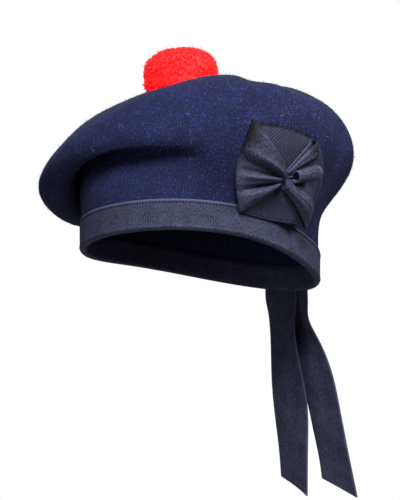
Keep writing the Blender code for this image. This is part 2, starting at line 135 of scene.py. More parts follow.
# Each ring's name, its share of the crown's shift, and the solid's facets up to the next ring
RINGS = (
    ("edge", 0.0, 1),
    ("band_middle", 0.0, 1),
    ("band_top", 0.0, 2),
    ("crease", 0.0, 4),
    ("lip", 0.0, 4),
    ("rim", 0.0, 4),
    ("shoulder", 0.2, 4),
    ("crest", 0.6, 3),
    ("middle", 1.0, 0),
)

# Dents in the felt, from one place to another. A ring's number counts the rings from the edge
FOLD_STEPS = 15
FOLD_FADE = 0.12
FOLD_COLUMNS = ("bearing_1", "ring_1", "bearing_2", "ring_2", "depth", "width")
FOLDS = (
    (76, 6.9, 52, 4.6, 1.0, 0.52),
    (97, 7.2, 93, 6.0, 0.40, 0.80),
    (116, 6.6, 104, 4.0, 0.35, 0.50),
    (305, 3.4, 390, 3.15, 0.95, 0.40),
)

# A loop's way from the pinch to the square's side and back over itself: reach, gap and puff, as shares
LOOP_PATH = (
    (0.06, 0.0, 0.0),
    (0.50, 0.0, 0.0),
    (0.90, 0.0, 0.0),
    (0.99, 0.15, 0.0),
    (1.0, 0.65, 0.10),
    (0.94, 1.0, 0.38),
    (0.75, 1.0, 0.85),
    (0.48, 1.0, 1.0),
    (0.22, 1.0, 0.75),
    (0.06, 1.0, 0.30),
)

# How high each loop puffs, as a share, from its low corner to its top corner
PLEAT_COLUMNS = ("across", "front", "back")
PLEATS = (
    (-1.0, 0.15, 0.20),
    (-0.72, 0.70, 0.95),
    (-0.45, 0.12, 0.70),
    (-0.20, 0.85, 0.40),
    (0.04, 0.12, 0.06),
    (0.34, 0.95, 0.0),
    (0.62, 0.85, 0.04),
    (0.86, 0.70, 0.50),
    (1.0, 0.20, 0.15),
)

# Right and up of a side's low corner, middle and top corner, in half sides of the cockade
COCKADE_LOOPS = (
    ("cockade_fold_front", "cockade_loop_front", "front", (-0.83, -1.02, -1.16, -0.10, -1.08, 1.01)),
    ("cockade_fold_back", "cockade_loop_back", "back", (1.11, -1.06, 0.86, -0.05, 0.38, 0.86)),
)
BASE_SIDES = (
    (-0.77, -1.02, -0.95, -0.04, -0.95, 0.93),
    (0.10, -1.01, -0.02, -0.02, -0.22, 1.0),
    (1.30, -0.90, 1.16, 0.02, 0.52, 0.91),
)

# The tails' routes: share of the length, out and to the wearer's left in lengths, and the turn in degrees
TAIL_LEFT = (
    (0.0, 0.0, 0.0, 0),
    (0.11, 0.0, 0.0, 0),
    (0.23, 0.028, 0.008, -20),
    (0.31, 0.048, 0.019, -8),
    (0.46, 0.087, 0.039, 12),
    (0.60, 0.136, 0.045, 7),
    (0.72, 0.165, 0.052, 5),
    (0.90, 0.213, 0.056, 5),
    (1.0, 0.234, 0.058, 10),
)
TAIL_RIGHT = (
    (0.0, 0.0, 0.0, 0),
    (0.11, 0.0, 0.0, 0),
    (0.23, 0.008, -0.002, -12),
    (0.31, 0.018, -0.004, -14),
    (0.46, 0.047, -0.008, -4),
    (0.60, 0.085, -0.016, 6),
    (0.80, 0.130, -0.030, -4),
    (1.0, 0.165, -0.046, -12),
)
TAIL_LEFT_BEARING = math.radians(170.0)
TAIL_RIGHT_BEARING = math.radians(177.0)

# Fine gathers of the loops, across them and as a share of their height
GATHERS = 6.5
GATHER_DEPTH = 0.30

# The loops' corners roll up at a step of their path. Just before it the ribbon is darkened with painted
# shade, and the back loop gets a little painted shade all along its low side
ROLLED_STEP = 5.3
ROLLED_STEPS = 1.0
ROLLED_LIFT = 0.0034
ROLLED_CORNERS = {"front": 1.2, "back": 0.8}
PAINTED_SHADE_STEP = 4.2
PAINTED_SHADE_STEPS = 1.2
PAINTED_SHADE_LOW = {"front": 0.0, "back": 0.05}

# Creases of the left tail: along and across at both ends, in shares, then depth in metres
TAIL_CREASES = (
    (0.30, -0.5, 0.36, 0.2, 0.0012),
    (0.62, 0.5, 0.68, -0.3, -0.0009),
    (0.72, -0.5, 0.66, 0.1, 0.0010),
    (0.79, 0.5, 0.86, -0.5, 0.0011),
    (0.50, 0.5, 0.45, 0.0, -0.0008),
)
TAIL_CREASE_WIDTH = 0.0035

# Grosgrain: the ribs are coarser than a real ribbon's 1 mm, so that they show in the render
RIB_PITCH = 0.0019
RIB_POINTS = 4
BAND_RIBS = 0.000048  # height, on the tails too
LOOP_RIBS = 0.00008
SQUARE_RIBS = 0.00024
RIB_BIAS = math.radians(51.0)  # of the square's ribs, from upright
SELVEDGE = 0.0011
HEM_SHARE = 0.35  # of the thickness, left at the very edge
FRAY_AND_PAINTED_SHADE_TONE = 6.0  # how much darker than a rib the square's frayed cut edge is, and the painted shade on the loops
FRAY_AND_PAINTED_SHADE_EDGE = 0.01  # far enough from the edge for no pale woven edge under the frayed edge or the painted shade
FRAYED_WIDTH = 0.0008

# The band's raised line above its hem, its sunk seam below its upper edge, and its slight swell off the felt.
# Its outside has fine rows of points up to the first height and from the last, and coarser ones between
HEM_LINE_UP = 0.0028
HEM_LINE_HEIGHT = 0.0003
SEAM_DOWN = 0.0024
SEAM_DEPTH = 0.0002
LINE_WIDTH = 0.0005
BAND_SWELL = 0.0007
BAND_WAVES = 5.0
BAND_HEIGHTS = (0.0038, 0.006, 0.018, 0.0190)

# Crown mesh and the felt's unevenness
CROWN_LINES = 240
RING_DIVISIONS = 3
FELT_LUMPS = ((0.034, 0.0007), (0.012, 0.00022))  # size and height

# Points along and across of the other meshes, and of the cockade's smooth seat on the felt
SEAT_POINTS = 17
SEAT_POWERS = 4
SQUARE_POINTS = 141
LOOP_POINTS = (161, 73)
ROLL_POINTS = (49, 33)
TAIL_POINTS = (401, 21)

# Specks in the cloths: the felt's are coarser than real fibres, so that they show in the render
FELT_SPECKS = (0.0006, 0.0007)
FELT_CLOUDS = 0.016
FIBRE_SPECKS = 0.0008
RIBBON_SPECKS = 0.0008
RIBBON_PATCHES = 0.009
FLOOR_SPECKS = 0.02

# Fibres: how many to a square metre, or how far apart on an edge, length, radius, bend and seed
STRAND_BENDS = 2
FIBRE_COLUMNS = ("Density", "Length", "Thickness", "Bend", "Seed")
NAP_FIBRES = (105000.0, 0.0013, 0.00006, 0.0009, 3)
KEMP_FIBRES = (1800.0, 0.0028, 0.00005, 0.0014, 11)
PILE_FIBRES = (260000.0, 0.0022, 0.00020, 0.0007, 5)
STRAY_FIBRES = (5000.0, 0.0042, 0.00016, 0.0018, 6)
FOOT_FIBRES = (150000.0, 0.0031, 0.00022, 0.0007, 9)
FRAY_COLUMNS = ("Pitch", "Length", "Thickness", "Bend", "Seed")
FRAY_THREADS = (0.0005, 0.0028, 0.00022, 0.0012, 4)

# The nap is left out under the cockade and the pompom, whose shares of their size these are
COCKADE_COVER = 0.53
TOORIE_COVER = 0.4

# Stitches: how far apart, length and thickness
STITCH_COLUMNS = ("Pitch", "Length", "Thickness")
BAND_STITCHES = (0.0024, 0.0016, 0.0008)
COCKADE_STITCHES = (0.0026, 0.0016, 0.0007)

# How far the stitches stand off the ribbon, and the rows of the square's points that are stitched and frayed
BAND_STITCH_LIFT = 0.0001
COCKADE_STITCH_LIFT = 0.0002
SEAM_POINTS = 720
STITCH_ROW = 4
FRAY_ROW = -3

# Floor, far below the bonnet, which a head would hold up
FLOOR_LEVEL = -2.2
FLOOR_RADIUS = 5.0
FLOOR_SIDES = 64

# The white room looks white, and lights the bonnet less than that, as far walls do
ROOM_LIGHT = 0.26

# Soft lamps: degrees to the camera's right and up, size and watts
LAMP_DISTANCE = 2.0
LAMPS = (
    ("key", 5.0, 40.0, 0.7, 250.0),
    ("side", 78.0, 28.0, 0.8, 90.0),
    ("rear", 190.0, 30.0, 1.2, 20.0),
    ("low", -60.0, 5.0, 1.2, 20.0),
)

# Camera, as the photo was taken
CAMERA_AZIMUTH = math.radians(35.0)
CAMERA_DISTANCE = 2.0
METRES_PER_PIXEL = 0.736e-3
PICTURE = (400, 500)
ORIGIN_PIXEL = (201.0, 261.7)
SENSOR = 36.0


def spline(knots, values, places):
    """The natural cubic spline through rows of values at the knots, read at the places."""
    knots, values, places = (np.asarray(each, float) for each in (knots, values, places))
    steps = np.diff(knots)[:, None]
    slopes = np.diff(values, axis=0) / steps
    count = len(knots)
    system = np.eye(count)
    bends = np.zeros_like(values)
    for i in range(1, count - 1):
        before, after = steps[i - 1, 0], steps[i, 0]
        system[i, i - 1 : i + 2] = before, 2 * (before + after), after
        bends[i] = 6 * (slopes[i] - slopes[i - 1])
    bends = np.linalg.solve(system, bends)
    i = np.clip(np.searchsorted(knots, places, side="right") - 1, 0, count - 2)
    step = steps[i]
    past = places[:, None] - knots[i, None]
    left = step - past
    cubic = (bends[i] * left**3 + bends[i + 1] * past**3) / (6 * step)
    cubic += (values[i] / step - bends[i] * step / 6) * left
    return cubic + (values[i + 1] / step - bends[i + 1] * step / 6) * past


def smoothstep(share):
    share = np.clip(share, 0, 1)
    return share * share * (3 - 2 * share)


def outward(bearing):
    return np.stack([np.sin(bearing), -np.cos(bearing), 0 * bearing], -1)


def leftward(bearing):
    return np.stack([-np.cos(bearing), -np.sin(bearing), 0 * bearing], -1)


def opening_radius(bearing):
    half_length, half_width = OPENING_LENGTH / 2, OPENING_WIDTH / 2
    return half_length * half_width / np.hypot(half_width * np.cos(bearing), half_length * np.sin(bearing))


def opening_round():
    """The way round the opening."""
    return 2 * math.pi * math.sqrt((OPENING_LENGTH**2 + OPENING_WIDTH**2) / 8)


def edge_height(bearing):
    lean = np.cos(bearing) * math.tan(OPENING_PITCH) + np.sin(bearing) * math.tan(OPENING_ROLL)
    return opening_radius(bearing) * lean + EDGE_WAVE * np.cos(2 * (bearing - EDGE_WAVE_BEARING))


def ring_points(ring, shift, bearings):
    """The crown's points at a named ring, one for each bearing."""
    table = np.array(SECTIONS, float)
    degrees = np.concatenate([table[:, 0] - 360, table[:, 0], table[:, 0] + 360])
    values = spline(degrees, np.tile(table[:, 1:], (3, 1)), np.degrees(bearings) % 360)
    columns = dict(zip(SECTION_COLUMNS[1:], values.T))
    out, edge = opening_radius(bearings), edge_height(bearings)
    if ring == "edge":
        up = edge + RIBBON_WALL + CLEARANCE + FELT_WALL / 2
    elif ring == "band_middle":
        up = edge + BAND_WIDTH / 2
    elif ring == "band_top":
        up = edge + BAND_WIDTH + ABOVE_BAND
    elif ring == "middle":
        out, up = 0 * out, CROWN_MIDDLE_UP + 0 * out
    else:
        out = out + CROWN_OVERHANG * columns[ring + "_out"]
        up = CROWN_RISE * columns[ring + "_up"]
    moved = shift * np.array([CROWN_SHIFT_LEFT, CROWN_SHIFT_BACK, 0])
    return moved + outward(bearings) * out[:, None] + np.array([0, 0, 1]) * up[:, None]


def smooth_crown(bearings, places):
    """The crown's outside before its folds. A place counts the rings from 0 at the edge."""
    rings = [ring_points(ring, shift, bearings) for ring, shift, _ in RINGS]
    ring, shift, _ = RINGS[-2]
    opposite = ring_points(ring, shift, bearings + math.pi)
    controls = np.stack(rings + [opposite], axis=1)
    grid = np.empty((len(bearings), len(places), 3))
    for line, knots in zip(grid, controls):
        chords = np.append(0, np.cumsum(np.linalg.norm(np.diff(knots, axis=0), axis=1)))
        line[:] = spline(chords, knots, np.interp(places, np.arange(len(chords)), chords))
    return grid


def grid_normals(points, closed=False):
    """Unit normals of a grid of points, from the first direction across the second."""
    if closed:
        first = np.roll(points, -1, 0) - np.roll(points, 1, 0)
    else:
        first = np.gradient(points, axis=0)
    normals = np.cross(first, np.gradient(points, axis=1))
    lengths = np.linalg.norm(normals, axis=-1, keepdims=True)
    return normals / np.maximum(lengths, 1e-12)


def crown_normals(points):
    normals = grid_normals(points, closed=True)
    middle = normals[:, -2].mean(axis=0)
    normals[:, -1] = middle / np.linalg.norm(middle)
    return normals


def crown_outside(bearings, places):
    """The crown's outside with its folds, and its normals."""
    points = smooth_crown(bearings, places)
    normals = crown_normals(points)
    push = np.zeros(points.shape[:2])
    for row in FOLDS:
        fold = dict(zip(FOLD_COLUMNS, row))
        shares = np.linspace(0, 1, FOLD_STEPS)
        fades = np.sin(math.pi * np.linspace(FOLD_FADE, 1 - FOLD_FADE, FOLD_STEPS))
        deepest = np.zeros_like(push)
        for share, fade in zip(shares, fades):
            bearing = math.radians(fold["bearing_1"] + share * (fold["bearing_2"] - fold["bearing_1"]))
            place = fold["ring_1"] + share * (fold["ring_2"] - fold["ring_1"])
            step = smooth_crown(np.array([bearing]), np.array([place]))[0, 0]
            apart = np.linalg.norm(points - step, axis=-1) / (fold["width"] * FOLD_WIDTH)
            deepest = np.maximum(deepest, fade * np.exp(-(apart**2)))
        push += fold["depth"] * FOLD_DEPTH * deepest
    points = points - normals * push[..., None]
    return points, crown_normals(points)


def noise_at(points, size, seed=0.0):
    """Smooth noise from -1 to 1 at each point of a grid."""
    flat = points.reshape(-1, 3) / size + seed
    return np.array([noise.noise(Vector(point)) for point in flat]).reshape(points.shape[:-1])


# Nodes

SPECULAR = "Specular IOR Level"


def linear(part):
    return part / 12.92 if part <= 0.04045 else ((part + 0.055) / 1.055) ** 2.4


def colour(code):
    """Linear colour of an sRGB value in hexadecimal."""
    return (*(linear(int(code[i : i + 2], 16) / 255) for i in (0, 2, 4)), 1.0)


def feed(tree, made, *inputs):
    """Sets a node's inputs. Each is a socket's name or number, then a value or the node that feeds it."""
    for name, value in inputs:
        if isinstance(value, bpy.types.Node):
            value = value.outputs[0]
        if isinstance(value, bpy.types.NodeSocket):
            tree.links.new(value, made.inputs[name])
        else:
            made.inputs[name].default_value = value


def add(tree, kind, *inputs, stops=(), **settings):
    """Adds a node with its settings and inputs. A colour ramp's stops are places and sRGB colours."""
    made = tree.nodes.new(kind)
    for name, value in settings.items():
        setattr(made, name, value)
    if stops:
        marks = made.color_ramp.elements
        while len(marks) < len(stops):
            marks.new(0.5)
        for mark, (place, code) in zip(marks, stops):
            mark.position = place
            mark.color = colour(code)
    feed(tree, made, *inputs)
    return made


def blank_material(name):
    made = bpy.data.materials.new(name)
    made.use_nodes = True
    return made, made.node_tree, made.node_tree.nodes["Principled BSDF"]


def fleck(tree, place, size, turn=(0.0, 0.0, 0.0), stretch=1.0):
    """Noise in specks of a size in metres. A stretch below 1 draws them out along one way."""
    turned = add(
        tree, "ShaderNodeMapping", ("Vector", place), ("Rotation", turn), ("Scale", (1.0, stretch, 1.0))
    )
    return add(
        tree, "ShaderNodeTexNoise", ("Vector", turned), ("Scale", 1.0 / size), ("Detail", 2.0),
        ("Roughness", 0.6),
    )


def felt_material(name, dark, middle, light, pale):
    """Milled wool felt: short matted fibres in several blues, which give it a salt-and-pepper grain."""
    made, tree, shader = blank_material(name)
    place = add(tree, "ShaderNodeTexCoord").outputs["Object"]
    one = fleck(tree, place, FELT_SPECKS[0], (0.3, 0.2, 0.0), 0.45)
    two = fleck(tree, place, FELT_SPECKS[1], (1.2, 0.9, 0.7), 0.45)
    fibres = add(tree, "ShaderNodeMath", (0, one), (1, two), operation="MAXIMUM")
    clouds = fleck(tree, place, FELT_CLOUDS)
    mixed = add(tree, "ShaderNodeMath", (0, clouds), (1, 0.10), (2, fibres), operation="MULTIPLY_ADD")
    stops = (0.50, dark), (0.61, middle), (0.73, light), (0.84, pale)
    tone = add(tree, "ShaderNodeValToRGB", ("Fac", mixed), stops=stops)
    bump = add(tree, "ShaderNodeBump", ("Height", fibres), ("Strength", 0.6), ("Distance", 0.0005))
    feed(tree, shader, ("Base Color", tone), ("Normal", bump), ("Roughness", 0.95), (SPECULAR, 0.05))
    return made


def fibre_material(name, dark, light, roughness, glow=0.0):
    """Loose wool or thread: each fibre takes its shade from where it stands. Glow lets light through it."""
    made, tree, shader = blank_material(name)
    place = add(tree, "ShaderNodeTexCoord").outputs["Object"]
    specks = fleck(tree, place, FIBRE_SPECKS)
    tone = add(tree, "ShaderNodeValToRGB", ("Fac", specks), stops=((0.42, dark), (0.62, light)))
    feed(
        tree, shader, ("Base Color", tone), ("Roughness", roughness), (SPECULAR, 0.03),
        ("Subsurface Weight", glow), ("Subsurface Radius", (1.0, 0.15, 0.15)), ("Subsurface Scale", 0.002),
    )
    return made


def grosgrain_material(name, dark, light, edge, rib_shade_and_highlight):
    """Grosgrain ribbon: matt ribs of fine dark yarn with painted highlight on their crowns and painted shade
    between them, and lighter along the woven edge.

    The ribbon's map holds metres along it and across it. Its rib attribute is 1 on a rib and -1 between two,
    and far lower where the square's frayed edge is dark or the loops carry painted shade. Its edge attribute
    is the distance in metres to the nearest woven edge, raised there so that no pale edge shows.
    """
    made, tree, shader = blank_material(name)
    place = add(tree, "ShaderNodeUVMap", uv_map="ribbon").outputs["UV"]
    ribs = add(tree, "ShaderNodeAttribute", attribute_name="rib").outputs["Fac"]
    away = add(tree, "ShaderNodeAttribute", attribute_name="edge").outputs["Fac"]
    uneven = fleck(tree, place, RIBBON_SPECKS, stretch=0.5)
    patches = fleck(tree, place, RIBBON_PATCHES)
    # Painted highlight on the rib crowns and painted shade between the ribs
    mixed = add(tree, "ShaderNodeMath", (0, ribs), (1, rib_shade_and_highlight), (2, uneven), operation="MULTIPLY_ADD")
    mixed = add(tree, "ShaderNodeMath", (0, patches), (1, 0.3), (2, mixed), operation="MULTIPLY_ADD")
    tone = add(tree, "ShaderNodeValToRGB", ("Fac", mixed), stops=((0.47, dark), (0.83, light)))
    near = add(
        tree, "ShaderNodeMapRange", ("Value", away), ("From Min", 0.0008), ("From Max", 0.0017),
        ("To Min", 0.6), ("To Max", 0.0),
    )
    worn = add(
        tree, "ShaderNodeMix", (0, near), (6, tone.outputs["Color"]), (7, colour(edge)), data_type="RGBA"
    )
    bump = add(tree, "ShaderNodeBump", ("Height", uneven), ("Strength", 0.4), ("Distance", 0.0002))
    feed(
        tree, shader, ("Base Color", worn.outputs[2]), ("Normal", bump), ("Roughness", 0.68),
        (SPECULAR, 0.06),
    )
    return made


# Each cloth's sRGB colours from dark to light, then a fibre's roughness and glow, or how much painted
# highlight and shade the ribs get
FELT = felt_material("navy_milled_felt", "040511", "080918", "121637", "464C74")
NAP = fibre_material("navy_wool_nap", "050714", "1E2348", 0.95)
KEMP = fibre_material("pale_kemp_fibre", "2C3049", "64687E", 0.9)
YARN = fibre_material("red_cut_yarn", "EA1416", "F41C1E", 0.9, 0.35)
GROSGRAIN = grosgrain_material("black_grosgrain", "05060B", "1F2131", "2A2D3E", 0.05)
LOOP_GROSGRAIN = grosgrain_material("black_loop_grosgrain", "020306", "242435", "272739", 0.05)
# The square's copy of the grosgrain is darker than the band's: painted shade for its V, which faces up into
# the light
SHADED_SQUARE_GROSGRAIN = grosgrain_material("black_square_grosgrain_painted_shade", "040508", "151725", "181A28", 0.18)
THREAD = fibre_material("black_sewing_thread", "030408", "0A0B12", 0.6)


# Meshes


def linked(name, data):
    """A new object in the scene."""
    made = bpy.data.objects.new(name, data)
    bpy.context.collection.objects.link(made)
    return made


def mesh_object(name, points, faces, cloth, uvs=None, marks=None):
    mesh = bpy.data.meshes.new(name)
    mesh.from_pydata([tuple(point) for point in points], [], faces)
    for label, values in (marks or {}).items():
        mesh.attributes.new(label, "FLOAT", "POINT").data.foreach_set("value", np.asarray(values, np.float32))
    if uvs is not None:
        layer = mesh.uv_layers.new(name="ribbon")
        corners = np.array([loop.vertex_index for loop in mesh.loops])
        layer.data.foreach_set("uv", np.asarray(uvs, np.float32)[corners].ravel())
    shape = bmesh.new()
    shape.from_mesh(mesh)
    bmesh.ops.remove_doubles(shape, verts=shape.verts, dist=1e-7)
    bmesh.ops.recalc_face_normals(shape, faces=shape.faces)
    shape.to_mesh(mesh)
    shape.free()
    mesh.shade_smooth()
    mesh.materials.append(cloth)
    return linked(name, mesh)


def sheet(name, over, under, cloth, closed=False, pole=False, uvs=None, marks=None):
    """The cloth between two grids of points. A closed grid's last line joins its first. A pole has no hem."""
    lines, count = over.shape[:2]
    spans = lines if closed else lines - 1

    def corner(side, i, j):
        return (side * lines + i % lines) * count + j

    faces = []
    for i in range(spans):
        for j in range(count - 1):
            faces.append([corner(0, i, j), corner(0, i + 1, j), corner(0, i + 1, j + 1), corner(0, i, j + 1)])
            faces.append([corner(1, i, j + 1), corner(1, i + 1, j + 1), corner(1, i + 1, j), corner(1, i, j)])
        for j in (0,) if pole else (0, count - 1):
            faces.append([corner(0, i, j), corner(1, i, j), corner(1, i + 1, j), corner(0, i + 1, j)])
    if not closed:
        for i in (0, lines - 1):
            for j in range(count - 1):
                faces.append([corner(0, i, j), corner(0, i, j + 1), corner(1, i, j + 1), corner(1, i, j)])
    if uvs is not None:
        uvs = np.concatenate([uvs.reshape(-1, 2)] * 2)
    marks = {label: np.tile(values.ravel(), 2) for label, values in (marks or {}).items()}
    points = np.concatenate([over.reshape(-1, 3), under.reshape(-1, 3)])
    return mesh_object(name, points, faces, cloth, uvs, marks)


def ribbed(name, middle, cloth, depth, closed=False, ribs=None, smooth=0.0, back=0.0):
    """A ribbon whose middle surface is a grid of points, the first direction along it, with ribs across it.

    Smooth is 1 where the ribs are pressed flat and pale as the woven edge is. Back is 1 where the ribbon is
    darkened with painted shade.
    """
    following = np.roll(middle, -1, 0) if closed else middle[1:]
    steps = np.linalg.norm(following - (middle if closed else middle[:-1]), axis=-1).mean(axis=1)
    along = np.append(0, np.cumsum(steps))
    if closed:
        along = along[:-1] * (ribs * RIB_PITCH / along[-1])
    along = np.broadcast_to(along[:, None], middle.shape[:2])
    widths = np.linalg.norm(np.diff(middle, axis=1), axis=-1)
    across = np.concatenate([np.zeros((len(middle), 1)), np.cumsum(widths, axis=1)], axis=1)
    edge = np.minimum(across, across[:, -1:] - across) * (1 - smooth)
    return ribbed_sheet(name, middle, along, across, edge, cloth, depth, back, closed)


def ribbed_sheet(name, middle, along, across, edge, cloth, depth, back, closed=False):
    """A ribbed ribbon from its middle surface and each point's place along, across and from the edge."""
    normals = grid_normals(middle, closed)
    inner = smoothstep(edge / SELVEDGE)
    ribs = (np.abs(np.cos(math.pi * along / RIB_PITCH)) * 2 - 1) * inner
    half = RIBBON_WALL / 2 + depth * ribs + depth * (1 - inner)
    half = half * (HEM_SHARE + (1 - HEM_SHARE) * np.sqrt(np.clip(edge / (RIBBON_WALL / 2), 0, 1)))
    offset = normals * half[..., None]
    # Back darkens the ribbon: the square's frayed cut edge, and painted shade on the loops
    marks = {"rib": ribs - FRAY_AND_PAINTED_SHADE_TONE * back, "edge": edge + FRAY_AND_PAINTED_SHADE_EDGE * back}
    uvs = np.stack([along, across], -1)
    return sheet(name, middle + offset, middle - offset, cloth, closed, uvs=uvs, marks=marks)


def place_piece(piece, slot, *nodes):
    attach(piece, "root")
    if nodes:
        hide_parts(*nodes)
    return piece


def crown_grid():
    bearings = np.arange(CROWN_LINES) * 2 * math.pi / CROWN_LINES
    places = [
        i + step / (facets * RING_DIVISIONS)
        for i, (_, _, facets) in enumerate(RINGS)
        for step in range(facets * RING_DIVISIONS)
    ]
    places = np.array(places + [len(RINGS) - 1])
    points, normals = crown_outside(bearings, places)
    lumps = sum(height * noise_at(points, size, seed=size * 100) for size, height in FELT_LUMPS)
    lumps[:, -1] = lumps[:, -1].mean()
    points = points + normals * (lumps * smoothstep(places - 2))[..., None]
    return points, crown_normals(points)


def build_crown(points, normals):
    crown = sheet("crown_felt", points, points - normals * FELT_WALL, FELT, closed=True, pole=True)
    return place_piece(crown, "navy_felted_wool", "felt_crown")


def build_band():
    outer = CLEARANCE + RIBBON_WALL / 2
    inner = -FELT_WALL - CLEARANCE - RIBBON_WALL / 2
    turn = (outer - inner) / 2
    low = turn + RIBBON_WALL / 2
    inside = [(inner, up) for up in np.linspace(BAND_INSIDE_WIDTH, low, 6)]
    hem = [
        ((outer + inner) / 2 + turn * math.cos(angle), low + turn * math.sin(angle))
        for angle in np.linspace(math.pi, 2 * math.pi, 7)[1:-1]
    ]
    fine, first, last, seam = BAND_HEIGHTS
    rows = [np.linspace(low, fine, 7), np.linspace(first, last, 6), np.linspace(seam, BAND_WIDTH, 9)]
    outside = [(outer, up) for up in np.concatenate(rows)]
    offsets, heights = np.array(inside + hem + outside).T
    outer_ply = offsets > 0
    hem_line = np.exp(-(((heights - HEM_LINE_UP) / LINE_WIDTH) ** 2)) * outer_ply
    seam_groove = np.exp(-(((heights - BAND_WIDTH + SEAM_DOWN) / LINE_WIDTH) ** 2)) * outer_ply
    ribs = round(opening_round() / RIB_PITCH)
    bearings = np.arange(ribs * RIB_POINTS) * 2 * math.pi / (ribs * RIB_POINTS)
    waves = np.array([
        noise.noise(Vector((math.sin(bearing) * BAND_WAVES, math.cos(bearing) * BAND_WAVES, 3.0)))
        for bearing in bearings
    ])
    swell = np.clip(waves, 0, 1)[:, None] * (heights / BAND_WIDTH) * outer_ply * BAND_SWELL
    lines = HEM_LINE_HEIGHT * hem_line - SEAM_DEPTH * seam_groove
    radii = opening_radius(bearings)[:, None] + offsets + lines + swell
    ups = edge_height(bearings)[:, None] + heights
    middle = outward(bearings)[:, None] * radii[..., None] + np.array([0, 0, 1]) * ups[..., None]
    band = ribbed("band_ribbon", middle, GROSGRAIN, BAND_RIBS, closed=True, ribs=ribs, smooth=0.9 * hem_line)
    place_piece(band, "black_grosgrain", "ribbon_band")
    return band


class CockadeSeat:
    """Places points over the wearer's left side of the crown, by the cockade's own right, up and height."""

    def __init__(self, crown):
        self.felt = felt_tree(crown)
        self.radius = self.felt_radius(COCKADE_BEARING, COCKADE_UP)
        marks = np.linspace(-0.5, 0.5, SEAT_POINTS)
        right, up = (part.ravel() for part in np.meshgrid(marks, marks))
        spots = zip(right * COCKADE_SIDE, up * COCKADE_SIDE)
        felt = np.array([self.felt_radius(*self.place(*spot)) for spot in spots])
        terms = self.terms(right, up)
        self.shape = np.linalg.lstsq(terms, felt, rcond=None)[0]
        self.shape[0] += (felt - terms @ self.shape).max()

    def terms(self, right, up):
        powers = [(i, j) for i in range(SEAT_POWERS) for j in range(SEAT_POWERS - i)]
        return np.stack([right**i * up**j for i, j in powers], -1)

    def felt_radius(self, bearing, level):
        far = OPENING_LENGTH + CROWN_OVERHANG
        away = Vector((math.sin(bearing), -math.cos(bearing), 0))
        hit = self.felt.ray_cast(away * far + Vector((0, 0, level)), -away)
        return far - hit[3]

    def place(self, right, up):
        across = right * math.cos(COCKADE_TURN) - up * math.sin(COCKADE_TURN)
        level = COCKADE_UP + right * math.sin(COCKADE_TURN) + up * math.cos(COCKADE_TURN)
        return COCKADE_BEARING + across / self.radius, level

    def grid(self, right, up, height):
        bearing, level = self.place(right, up)
        over_band = edge_height(bearing) + BAND_WIDTH + 2 * COCKADE_RISE - level
        stand = (RIBBON_WALL + CLEARANCE) * smoothstep(over_band / COCKADE_RISE)
        stand = stand + COCKADE_STAND * smoothstep(2 * right / COCKADE_SIDE)
        reach = self.terms(right / COCKADE_SIDE, up / COCKADE_SIDE) @ self.shape + stand + height
        return outward(bearing) * reach[..., None] + np.array([0, 0, 1]) * level[..., None]


def side_points(side, marks):
    """Right and up of the points at marks from -1 at a side's low corner to 1 at its top corner."""
    return (spline((-1, 0, 1), np.reshape(side, (3, 2)), marks) * COCKADE_SIDE / 2).T


def build_cockade_square(seat):
    """The square under the loops, and its middle surface."""
    marks = np.linspace(-1, 1, SQUARE_POINTS)
    sides = np.array([side_points(side, marks).ravel() for side in BASE_SIDES])
    right, up = spline((-1, 0, 1), sides, marks).reshape(len(marks), 2, len(marks)).transpose(1, 0, 2)
    height = np.full_like(right, CLEARANCE + RIBBON_WALL / 2)
    middle = seat.grid(right, up, height)
    along = up * math.cos(RIB_BIAS) - right * math.sin(RIB_BIAS)
    across = up * math.sin(RIB_BIAS) + right * math.cos(RIB_BIAS)
    edge = (1 - np.abs(marks))[:, None] * COCKADE_SIDE / 2 + 0 * up
    ragged = FRAYED_WIDTH * (1 + 0.8 * noise_at(middle, FRAYED_WIDTH * 2))
    frayed = smoothstep(2 - (1 - marks)[None, :] * COCKADE_SIDE / 2 / ragged)
    square = ribbed_sheet(
        "cockade_square", middle, along, across, edge, SHADED_SQUARE_GROSGRAIN, SQUARE_RIBS, frayed
    )
    place_piece(square, "black_grosgrain", "cockade_base")
    return square, middle


def build_cockade_loop(seat, square, name, node, pleated, side):
    steps = np.linspace(0, len(LOOP_PATH) - 1, LOOP_POINTS[0])
    out, gap, puff = spline(np.arange(len(LOOP_PATH)), LOOP_PATH, steps).T
    across = np.linspace(-1, 1, LOOP_POINTS[1])
    pleats = np.array(PLEATS)
    height = spline(pleats[:, 0], pleats[:, 1:], across)[:, PLEAT_COLUMNS.index(pleated) - 1]
    end_right, end_up = side_points(side, across)
    right = np.outer(out, end_right)
    up = np.outer(1 - out, across * LOOP_GATHER + GATHER_UP * COCKADE_SIDE / 2) + np.outer(out, end_up)
    room = (LOOP_GAP + RIBBON_WALL) * np.clip(gap, 0, None)
    gathers = np.array([noise.noise(Vector((mark * GATHERS, len(name), 0))) for mark in across])
    height = height + GATHER_DEPTH * gathers
    rise = room[:, None] + LOOP_LIFT * np.outer(np.clip(puff, 0, None), np.clip(height, 0, None))
    corner = smoothstep(across * ROLLED_CORNERS[pleated])
    rolled = np.exp(-(((steps - ROLLED_STEP) / ROLLED_STEPS) ** 2))
    rise = rise + ROLLED_LIFT * np.outer(rolled, corner)
    rest = 2 * CLEARANCE + 1.5 * RIBBON_WALL
    # Painted shade: the ribbon darkened just before the rolled corners, and along the back loop's low side
    turned = np.outer(np.exp(-(((steps - PAINTED_SHADE_STEP) / PAINTED_SHADE_STEPS) ** 2)), corner)
    turned = turned + PAINTED_SHADE_LOW[pleated] * np.outer(smoothstep(out * 2 - 0.4), smoothstep(-1.5 * across))
    middle = seat.grid(right, up, rest + rise)
    loop = ribbed(name, middle, LOOP_GROSGRAIN, LOOP_RIBS, back=np.clip(1.6 * turned, 0, 1))
    place_piece(loop, "black_grosgrain", node)


